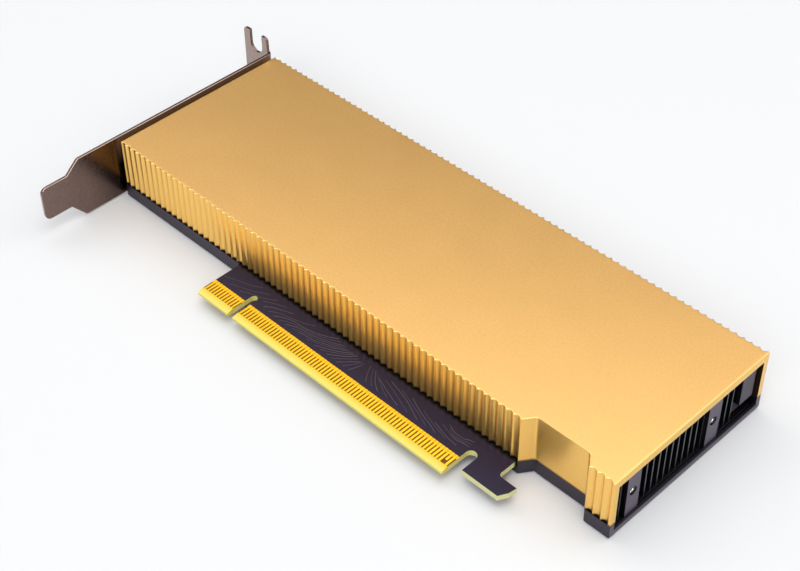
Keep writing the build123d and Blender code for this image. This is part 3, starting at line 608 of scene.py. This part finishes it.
def finish(name, colour, roughness, metallic=0.0, change=0.08, rough_change=0.1, grain=4000, height=0.1):
    """A material of one finish whose colour, roughness and normal come from the shared grain."""
    material = bpy.data.materials.new(name)
    material.use_nodes = True
    tree = material.node_tree
    shader = tree.nodes["Principled BSDF"]
    source = tree.nodes.new("ShaderNodeGroup")
    source.node_tree = GRAIN
    for label, value in (
        ("Colour", colour), ("Colour change", change), ("Roughness", roughness),
        ("Roughness change", rough_change), ("Grain per metre", grain), ("Height", height),
    ):
        feed(tree, source.inputs[label], value)
    tree.links.new(source.outputs["Colour"], shader.inputs["Base Color"])
    tree.links.new(source.outputs["Roughness"], shader.inputs["Roughness"])
    tree.links.new(source.outputs["Normal"], shader.inputs["Normal"])
    shader.inputs["Metallic"].default_value = metallic
    return material


print("grain group with", len(GRAIN.nodes), "nodes")

# %% [markdown]
# A real part isn't one colour all over: sawn ends differ from the faces by them, while sheltered ledges get
# painted shade and rims get painted highlights. A mask is a number from 0 to 1, made from where a point lies
# on the card or from where its face looks, and two masks multiplied hold only where both do.

# %% Masks
HEAD_ON = (0.9, 0.99)


def in_frame(axis, value):
    """One coordinate in millimetres from the datum, as metres in the frame."""
    return (value + SHIFT["XYZ".index(axis)]) / 1000


def along(tree, axis):
    """The place along one axis, in metres in the frame."""
    return part_of(tree, tree.nodes.new("ShaderNodeTexCoord").outputs["Object"], axis)


def look(tree, axis, normal="Normal"):
    """How much a face looks along one axis, from -1 to 1."""
    return part_of(tree, tree.nodes.new("ShaderNodeNewGeometry").outputs[normal], axis)


def facing_mask(tree, axis, low, high):
    """From 0 to 1 as the face's own direction along one axis goes from low to high."""
    return ramp(tree, look(tree, axis), low, high)


def place_mask(tree, axis, low, high):
    """From 0 to 1 as the place along one axis goes from low to high, in millimetres from the datum."""
    return ramp(tree, along(tree, axis), in_frame(axis, low), in_frame(axis, high))


def side_mask(tree, axis, comparison, limit):
    """1 on one side of a limit in millimetres, where the comparison holds, and 0 on the other."""
    return sum_of(tree, comparison, along(tree, axis), in_frame(axis, limit))


def both_masks(tree, first, second):
    """Two masks as one: their product."""
    return sum_of(tree, "MULTIPLY", first, second)


def lay_over(material, mask, label, value):
    """Lays a colour or a number over what a shader input has now, as far as the mask says."""
    tree = material.node_tree
    entry = tree.nodes["Principled BSDF"].inputs[label]
    before = entry.links[0].from_socket if entry.is_linked else entry.default_value
    tree.links.new(mix(tree, mask, before, value, entry.type == "RGBA"), entry)


print("masks from places and from directions")

# %% [markdown]
# The cover is blasted and gold anodised. Its upright faces are drawn lengthwise, so their glints stretch, and
# painted shade darkens their feet where they meet the tray. Inside, the channel is painted a dull brown as
# shade.

# %% Gold of the cover
GOLD_GRAIN = 1700
FOOT_SHADE_FROM_Z, FOOT_SHADE_FULL_Z = 1.0, 0.35
ANISOTROPY, ANISOTROPY_TURN = 0.8, 0.25
TOP_SIDE, WALL_SIDE, INSIDE = 0, 1, 2
INWARD, STEEP = 0.3, 0.5


def gold_top():
    """Blasted gold on the flat top and the rounded edges."""
    return finish(
        "gold anodised", (0.90, 0.53, 0.185), 0.34, metallic=1.0,
        change=0.22, rough_change=0.08, grain=GOLD_GRAIN, height=0.12)


def gold_flutes():
    """Drawn gold on the upright faces, with painted shade along their feet."""
    material = finish(
        "gold anodised flutes", (0.94, 0.585, 0.165), 0.28, metallic=1.0,
        change=0.10, rough_change=0.02, grain=GOLD_GRAIN, height=0.0)
    shader = material.node_tree.nodes["Principled BSDF"]
    shader.inputs["Anisotropic"].default_value = ANISOTROPY
    shader.inputs["Anisotropic Rotation"].default_value = ANISOTROPY_TURN
    # Painted shade: the flutes' feet darken towards the tray, where the cover's foot shades them.
    foot = place_mask(material.node_tree, "Z", FOOT_SHADE_FROM_Z, FOOT_SHADE_FULL_Z)
    lay_over(material, foot, "Base Color", (0.10, 0.055, 0.025))
    return material


def gold_inside_painted_shade():
    """Gold inside the channel, painted a dull dark brown as shade."""
    return finish(
        "gold anodised inside with painted shade", (0.06, 0.035, 0.02), 0.6, metallic=1.0,
        change=0.10, rough_change=0.05, grain=GOLD_GRAIN, height=0.02)


def share_out(made):
    """Gives each face of the cover its finish: inward and downward faces first, then the upright ones."""
    normal = np.empty(len(made.data.polygons) * 3)
    middle = np.empty(len(made.data.polygons) * 3)
    made.data.polygons.foreach_get("normal", normal)
    made.data.polygons.foreach_get("center", middle)
    inward = normal[1::3] * np.sign(middle[1::3]) < -INWARD
    downward = normal[2::3] < -STEEP
    outside = np.where(np.abs(normal[2::3]) < STEEP, WALL_SIDE, TOP_SIDE)
    finish_of = np.where(inward | downward, INSIDE, outside)
    made.data.polygons.foreach_set("material_index", finish_of.astype(np.int32))
    return np.bincount(finish_of).tolist()


print("the flutes' feet darken from z", FOOT_SHADE_FROM_Z, "down to", FOOT_SHADE_FULL_Z)

# %% [markdown]
# Tray and heatsink are black anodised. Their sawn ends are lighter and the pillars' ends are violet, the
# corner block's end is darkened by painted shade, and the ledge in front of the flutes' feet lies in their
# shade. The liners in the tapped holes are steel painted near black as the holes' shade, with a painted glint
# on one turn of thread.

# %% Dark metals
BLACK_GRAIN = 5000
PILLARS_FROM_X, CORNER_SHADE_FROM_Y, CORNER_SHADE_FULL_Y, LEDGE_TO_Y = 108.2, 59.5, 60.3, 16.0
GLINT_IN, GLINT_OUT, GLINT_UP = (107.3, 107.5), (108.1, 107.9), (0.1, 0.5)


def dark_heatsink():
    """Dark anodising: grey on the fins' sawn ends, violet on the pillars', darker on the corner block's as
    painted shade.
    """
    material = finish(
        "dark aluminium", (0.045, 0.04, 0.05), 0.40, metallic=1.0, change=0.1, grain=BLACK_GRAIN)
    tree = material.node_tree
    sawn = facing_mask(tree, "X", *HEAD_ON)
    lay_over(material, sawn, "Base Color", (0.13, 0.14, 0.155))
    pillars = both_masks(tree, side_mask(tree, "X", "GREATER_THAN", PILLARS_FROM_X), sawn)
    lay_over(material, pillars, "Base Color", (0.14, 0.118, 0.16))
    # Painted shade: the corner block's end, deep in the tail opening, is darkened.
    corner = both_masks(tree, place_mask(tree, "Y", CORNER_SHADE_FROM_Y, CORNER_SHADE_FULL_Y), sawn)
    lay_over(material, corner, "Base Color", (0.062, 0.052, 0.070))
    return material


def black_tray():
    """Black anodising: lighter on the tail's end, and darkest on the ledge in the flutes' shade."""
    material = finish(
        "black anodised", (0.065, 0.057, 0.080), 0.40, metallic=1.0, change=0.1, grain=BLACK_GRAIN)
    tree = material.node_tree
    lay_over(material, facing_mask(tree, "X", *HEAD_ON), "Base Color", (0.125, 0.108, 0.130))
    in_front = side_mask(tree, "Y", "LESS_THAN", LEDGE_TO_Y)
    ledge = both_masks(tree, in_front, facing_mask(tree, "Z", *HEAD_ON))
    lay_over(material, ledge, "Base Color", (0.012, 0.010, 0.014))
    return material


def thread_shade_and_glint():
    """Steel painted near black as the hole's shade, with a painted glint on one turn of thread on the side
    that looks up.
    """
    # Painted shade: the steel is near black so that the hole reads dark.
    material = finish("steel thread with painted shade and glint", (0.02, 0.018, 0.02), 0.16, metallic=1.0)
    tree = material.node_tree
    turn = both_masks(tree, place_mask(tree, "X", *GLINT_IN), place_mask(tree, "X", *GLINT_OUT))
    # Painted highlight: one turn of thread on the upward side is made bright as a glint.
    glint = both_masks(tree, turn, facing_mask(tree, "Z", *GLINT_UP))
    lay_over(material, glint, "Base Color", (0.95, 0.90, 0.88))
    return material


print("pillars from x", PILLARS_FROM_X, "corner block from y", CORNER_SHADE_FROM_Y)

# %% [markdown]
# The bracket is nickel plated. In front of the card its plate is darker with painted shade, and above the
# board it is a dull brown, a painted reflection of the gold beside it. Painted highlights brighten its
# rounded upper rim and its faces on the contacts' side.

# %% Nickel of the bracket
SHADE_BESIDE_Y, GAP_Y, GAP_Z, REFLECTION_METAL = (3.0, 12.0), (13.0, 14.0), (6.0, 12.0), 0.2
PLATE_FROM_X, RIM_ROUND, RIM_FADE_Y, RIM_FAR = -60.5, (0.15, 0.35), (66.0, 40.0), 0.12
HIGHLIGHT_EDGE_ON = (-0.9, -0.99)


def rim_highlight_mask(tree):
    """Where the rim highlight is painted: 1 on the plate's rounded inner rim, where N.x N.z is 1/2 at 45
    degrees, and less at the far end.
    """
    round_rim = ramp(tree, both_masks(tree, look(tree, "X"), look(tree, "Z")), *RIM_ROUND)
    plate = side_mask(tree, "X", "GREATER_THAN", PLATE_FROM_X)
    fade = ramp(tree, along(tree, "Y"), *[in_frame("Y", y) for y in RIM_FADE_Y], first=RIM_FAR)
    return both_masks(tree, round_rim, both_masks(tree, plate, fade))


def nickel_plate():
    """Nickel with its stains, painted shade beside the card, a painted gold reflection in the gap and painted
    highlights.
    """
    material = finish(
        "nickel plated steel", (0.20, 0.138, 0.120), 0.25, metallic=1.0,
        change=0.5, rough_change=0.15, grain=1500, height=0.02)
    tree = material.node_tree
    inner = facing_mask(tree, "X", *HEAD_ON)
    # Painted shade: the inner face beside the card is darkened and browned where it lies in shade.
    beside = both_masks(tree, place_mask(tree, "Y", *SHADE_BESIDE_Y), inner)
    lay_over(material, beside, "Base Color", (0.105, 0.070, 0.055))
    # Painted reflection: the gap above the board is a dull brown, less metallic, for the gold cover reflected
    # in it.
    gap = both_masks(tree, place_mask(tree, "Y", *GAP_Y), place_mask(tree, "Z", *GAP_Z))
    gap = both_masks(tree, gap, inner)
    lay_over(material, gap, "Base Color", (0.15, 0.08, 0.04))
    lay_over(material, gap, "Metallic", REFLECTION_METAL)
    # Painted highlight along the plate's rounded inner rim.
    lay_over(material, rim_highlight_mask(tree), "Base Color", (0.60, 0.47, 0.41))
    # Painted highlight on the faces that look along -Y, towards the contacts.
    lay_over(material, facing_mask(tree, "Y", *HIGHLIGHT_EDGE_ON), "Base Color", (0.38, 0.29, 0.265))
    return material


print("the gap beside the card is from y", GAP_Y[0])

# %% [markdown]
# The contacts are gold plated, with painted shade, darker and redder, along their outer strips. The board has
# dark solder mask on its faces and bare laminate on its cut edges. Towards the contact edge it steps from a
# plated strip, through the brown slots between the contacts, to a bare bevel. It lies in painted shade where
# it meets the cover.

# %% Gold contacts and the board
CONTACT_PITCH, SHOULDER_SHADE = 1.0, (0.24, 0.30)
TAB_TO_X, PLATED_TO_Y, SLOTS_TO_Y, BEVEL_TO_Y = 72.5, 5.88, 4.90, 1.95
BEVEL_FADE_Y, SHADE_Y, CUT_EDGE, MASK_GLOSS = (0.5, 1.9), (13.1, 13.75), 0.5, 0.2
FAR_BACK = 100.0


def gold_contacts():
    """Plating with painted shade, darker and redder, on each contact's outer strips: whole pitches from far
    back fall between contacts.
    """
    material = finish(
        "gold plating", (0.82, 0.50, 0.025), 0.28, metallic=1.0, change=0.05, rough_change=0.05, height=0.03)
    tree = material.node_tree
    from_back = (FAR_BACK - SHIFT[0]) / CONTACT_PITCH
    pitches = sum_of(tree, "MULTIPLY_ADD", along(tree, "X"), 1000 / CONTACT_PITCH, from_back)
    from_middle = sum_of(tree, "SUBTRACT", sum_of(tree, "FRACT", pitches), 0.5)
    # Painted shade: each contact's outer strips are darker and redder.
    shoulder = ramp(tree, sum_of(tree, "ABSOLUTE", from_middle), *SHOULDER_SHADE)
    lay_over(material, shoulder, "Base Color", (0.42, 0.17, 0.01))
    return material


def board_mask():
    """Solder mask on the faces, laminate on the cut edges, and the steps along the contact edge."""
    material = finish("solder mask", (0.012, 0.0095, 0.030), 0.45, change=0.1, grain=3000, height=0.05)
    tree = material.node_tree
    shader = tree.nodes["Principled BSDF"]
    flatness = sum_of(tree, "ABSOLUTE", look(tree, "Z", "True Normal"))
    edge = sum_of(tree, "LESS_THAN", flatness, CUT_EDGE)
    tab = side_mask(tree, "X", "LESS_THAN", TAB_TO_X)
    plated, slots, bevel = [
        both_masks(tree, side_mask(tree, "Y", "LESS_THAN", limit), tab)
        for limit in (PLATED_TO_Y, SLOTS_TO_Y, BEVEL_TO_Y)]
    laminate = mix(tree, tab, (0.62, 0.61, 0.31), (0.62, 0.57, 0.20))
    bare = mix(tree, place_mask(tree, "Y", *BEVEL_FADE_Y), (0.66, 0.58, 0.13), (0.64, 0.46, 0.035))
    lay_over(material, plated, "Base Color", (0.84, 0.52, 0.035))
    lay_over(material, slots, "Base Color", (0.13, 0.048, 0.003))
    lay_over(material, edge, "Base Color", laminate)
    lay_over(material, bevel, "Base Color", bare)
    step = sum_of(tree, "SUBTRACT", plated, slots, clamp=True)
    tree.links.new(sum_of(tree, "SUBTRACT", step, edge, clamp=True), shader.inputs["Metallic"])
    shader.inputs["Specular IOR Level"].default_value = MASK_GLOSS
    lay_over(material, place_mask(tree, "Y", *SHADE_Y), "Base Color", (0.002, 0.002, 0.003))
    return material


print("the plated step ends at y", PLATED_TO_Y)

# %% [markdown]
# The record gives each node a slot, and each slot has one finish here. Most nodes inside the closed card need
# no more than a plain one. The pieces made above take the slot of what they stand for.

# %% Finishes and who wears them
FINISHES = {
    "gold_anodised": gold_top(),
    "black_anodised": black_tray(),
    "dark_aluminium": dark_heatsink(),
    "copper": finish("copper", (0.78, 0.36, 0.22), 0.3, metallic=1.0),
    "board_laminate": board_mask(),
    "gold_plating": gold_contacts(),
    "package_laminate": finish("package laminate", (0.02, 0.10, 0.04), 0.4),
    "silicon": finish("silicon", (0.10, 0.11, 0.13), 0.12, metallic=0.6, change=0.03),
    "nickel_steel": nickel_plate(),
    "chip_resin": finish("chip resin", (0.02, 0.02, 0.021), 0.55),
    "thermal_pad": finish("thermal pad", (0.30, 0.35, 0.42), 0.8),
    "ferrite": finish("ferrite", (0.06, 0.06, 0.065), 0.6),
    "ceramic_tan": finish("ceramic", (0.40, 0.26, 0.15), 0.4),
    "black_screw": finish("black oxide", (0.03, 0.03, 0.033), 0.35, metallic=0.6),
}


def wear(obj, material):
    """Gives a piece one material."""
    obj.data.materials.clear()
    obj.data.materials.append(material)


slot_of = {row["node"]: row["material_slot"] for row in frame["record"]["subparts"]}
for name, node in nodes.items():
    node.data.materials.clear()
    node.data.materials.append(FINISHES[slot_of[name]])
for made, slot in (
    (cover, "gold_anodised"), (tray, "black_anodised"), (sink, "dark_aluminium"), (bracket, "nickel_steel"),
    (case_heads, "black_screw"), (bracket_heads, "black_screw"),
):
    wear(made, FINISHES[slot])
wear(liners, thread_shade_and_glint())
wear(lines, finish("mask over copper", (0.048, 0.041, 0.062), 0.34))
cover.data.materials.append(gold_flutes())
# The inside faces get gold painted dark as shade.
cover.data.materials.append(gold_inside_painted_shade())
shares = share_out(cover)
print("finishes", len(FINISHES), "faces of the cover with each of its three", shares)

# %% [markdown]
# The card lies on a plain pale floor, under one soft square light from above.

# %% Floor and light
FLOOR_HALF, FLOOR_POINTS = 3.0, 13


def floor_mesh():
    """A flat grid z = 0 that fills the picture."""
    line = np.linspace(-FLOOR_HALF, FLOOR_HALF, FLOOR_POINTS)
    x, y = np.meshgrid(line, line, indexing="ij")
    mesh = bpy.data.meshes.new("floor")
    points = np.stack([x.ravel(), y.ravel(), np.zeros(x.size)], 1)
    mesh.from_pydata(points.tolist(), [], grid_faces(FLOOR_POINTS, FLOOR_POINTS))
    made = bpy.data.objects.new("floor", mesh)
    bpy.context.scene.collection.objects.link(made)
    return made


def lamp(name, place_at, aim, size, power):
    """A soft square light that looks at a point."""
    data = bpy.data.lights.new(name, "AREA")
    data.size = size
    data.energy = power
    made = bpy.data.objects.new(name, data)
    made.location = place_at
    made.rotation_mode = "QUATERNION"
    made.rotation_quaternion = (Vector(aim) - Vector(place_at)).to_track_quat("-Z", "Y")
    bpy.context.scene.collection.objects.link(made)
    return made


floor = floor_mesh()
pale = finish("pale floor", (0.635, 0.643, 0.655), 0.9, change=0.0, rough_change=0.0, grain=100, height=0.0)
floor.data.materials.append(pale)
over_light = lamp("over light", place_at=(0.25, -0.15, 1.2), aim=(0, 0, 0.01), size=0.8, power=6)
print(floor.name, len(floor.data.polygons), "faces", over_light.name, over_light.data.energy, "W")

# %% [markdown]
# The studio is a world that the camera sees as white, and that everything else sees as a room. One number
# says how far a direction leans to one side. The room is dark behind, brightest before the middle and calmer
# towards that side, where a panel hangs high up. Low directions are dimmer, as a room's foot is.

# %% The room's light
LEAN_SIDE = (0.467, -0.771, 0.434)
BACK_LEAN, BACK_LEVEL = (-0.36, -0.26), (0.06, 2.22)
CALM_LEAN, CALM_LEVEL = (0.0, 0.35), (1.0, 0.30)
LOW_RISE, LOW_LEVEL = (0.1, 0.6), (0.3, 1.0)
PANEL_LEAN, PANEL_LEVEL, PANEL_RISE = (0.82, 0.94), (0.0, 3.2), (0.34, 0.46)


def room_light(tree):
    """The room's light from a direction d: back(lean) calm(lean) low(d.z) + panel(lean) high(d.z)."""
    direction = tree.nodes.new("ShaderNodeTexCoord").outputs["Generated"]
    dot = tree.nodes.new("ShaderNodeVectorMath")
    dot.operation = "DOT_PRODUCT"
    dot.inputs[1].default_value = LEAN_SIDE
    tree.links.new(direction, dot.inputs[0])
    lean, rise = dot.outputs["Value"], part_of(tree, direction, "Z")
    back = ramp(tree, lean, *BACK_LEAN, *BACK_LEVEL)
    calm = ramp(tree, lean, *CALM_LEAN, *CALM_LEVEL, smooth=True)
    low = ramp(tree, rise, *LOW_RISE, *LOW_LEVEL, smooth=True)
    panel = ramp(tree, lean, *PANEL_LEAN, *PANEL_LEVEL, smooth=True)
    high = ramp(tree, rise, *PANEL_RISE, smooth=True)
    walls = sum_of(tree, "MULTIPLY", low, sum_of(tree, "MULTIPLY", calm, back))
    return sum_of(tree, "ADD", walls, sum_of(tree, "MULTIPLY", panel, high))


def studio_world():
    """White for the camera's own rays, and the room for all others."""
    world = bpy.context.scene.world or bpy.data.worlds.new("studio")
    bpy.context.scene.world = world
    world.use_nodes = True
    tree = world.node_tree
    tree.nodes.clear()
    out = tree.nodes.new("ShaderNodeOutputWorld")
    white = tree.nodes.new("ShaderNodeBackground")
    room = tree.nodes.new("ShaderNodeBackground")
    choice = tree.nodes.new("ShaderNodeMixShader")
    path = tree.nodes.new("ShaderNodeLightPath")
    white.inputs["Color"].default_value = (1, 1, 1, 1)
    tree.links.new(room_light(tree), room.inputs["Color"])
    tree.links.new(path.outputs["Is Camera Ray"], choice.inputs[0])
    tree.links.new(room.outputs[0], choice.inputs[1])
    tree.links.new(white.outputs[0], choice.inputs[2])
    tree.links.new(choice.outputs[0], out.inputs["Surface"])
    return world


world = studio_world()
print(world.name, "brightest", BACK_LEVEL[1], "panel", PANEL_LEVEL[1])

# %% [markdown]
# The card is seen from above its contact edge and its tail. The camera's place and directions come from
# fitting the contacts' known pitch.

# %% Camera
CAMERA_AT = (0.21413, -0.20154, 0.27675)
CAMERA_RIGHT = Vector((0.70871, 0.70548, -0.00584))
CAMERA_AHEAD = Vector((-0.52255, 0.51935, -0.67618))
LENS, SENSOR = 72.46, 36

camera = bpy.data.objects.new("camera", bpy.data.cameras.new("camera"))
bpy.context.scene.collection.objects.link(camera)
camera.location = CAMERA_AT
camera.rotation_mode = "QUATERNION"
axes = Matrix((CAMERA_RIGHT, CAMERA_RIGHT.cross(CAMERA_AHEAD), -CAMERA_AHEAD))
camera.rotation_quaternion = axes.transposed().to_quaternion()
camera.data.lens = LENS
camera.data.sensor_width = SENSOR
bpy.context.scene.camera = camera
bpy.context.scene.view_settings.view_transform = "Standard"
print("camera at", CAMERA_AT, "lens", LENS)
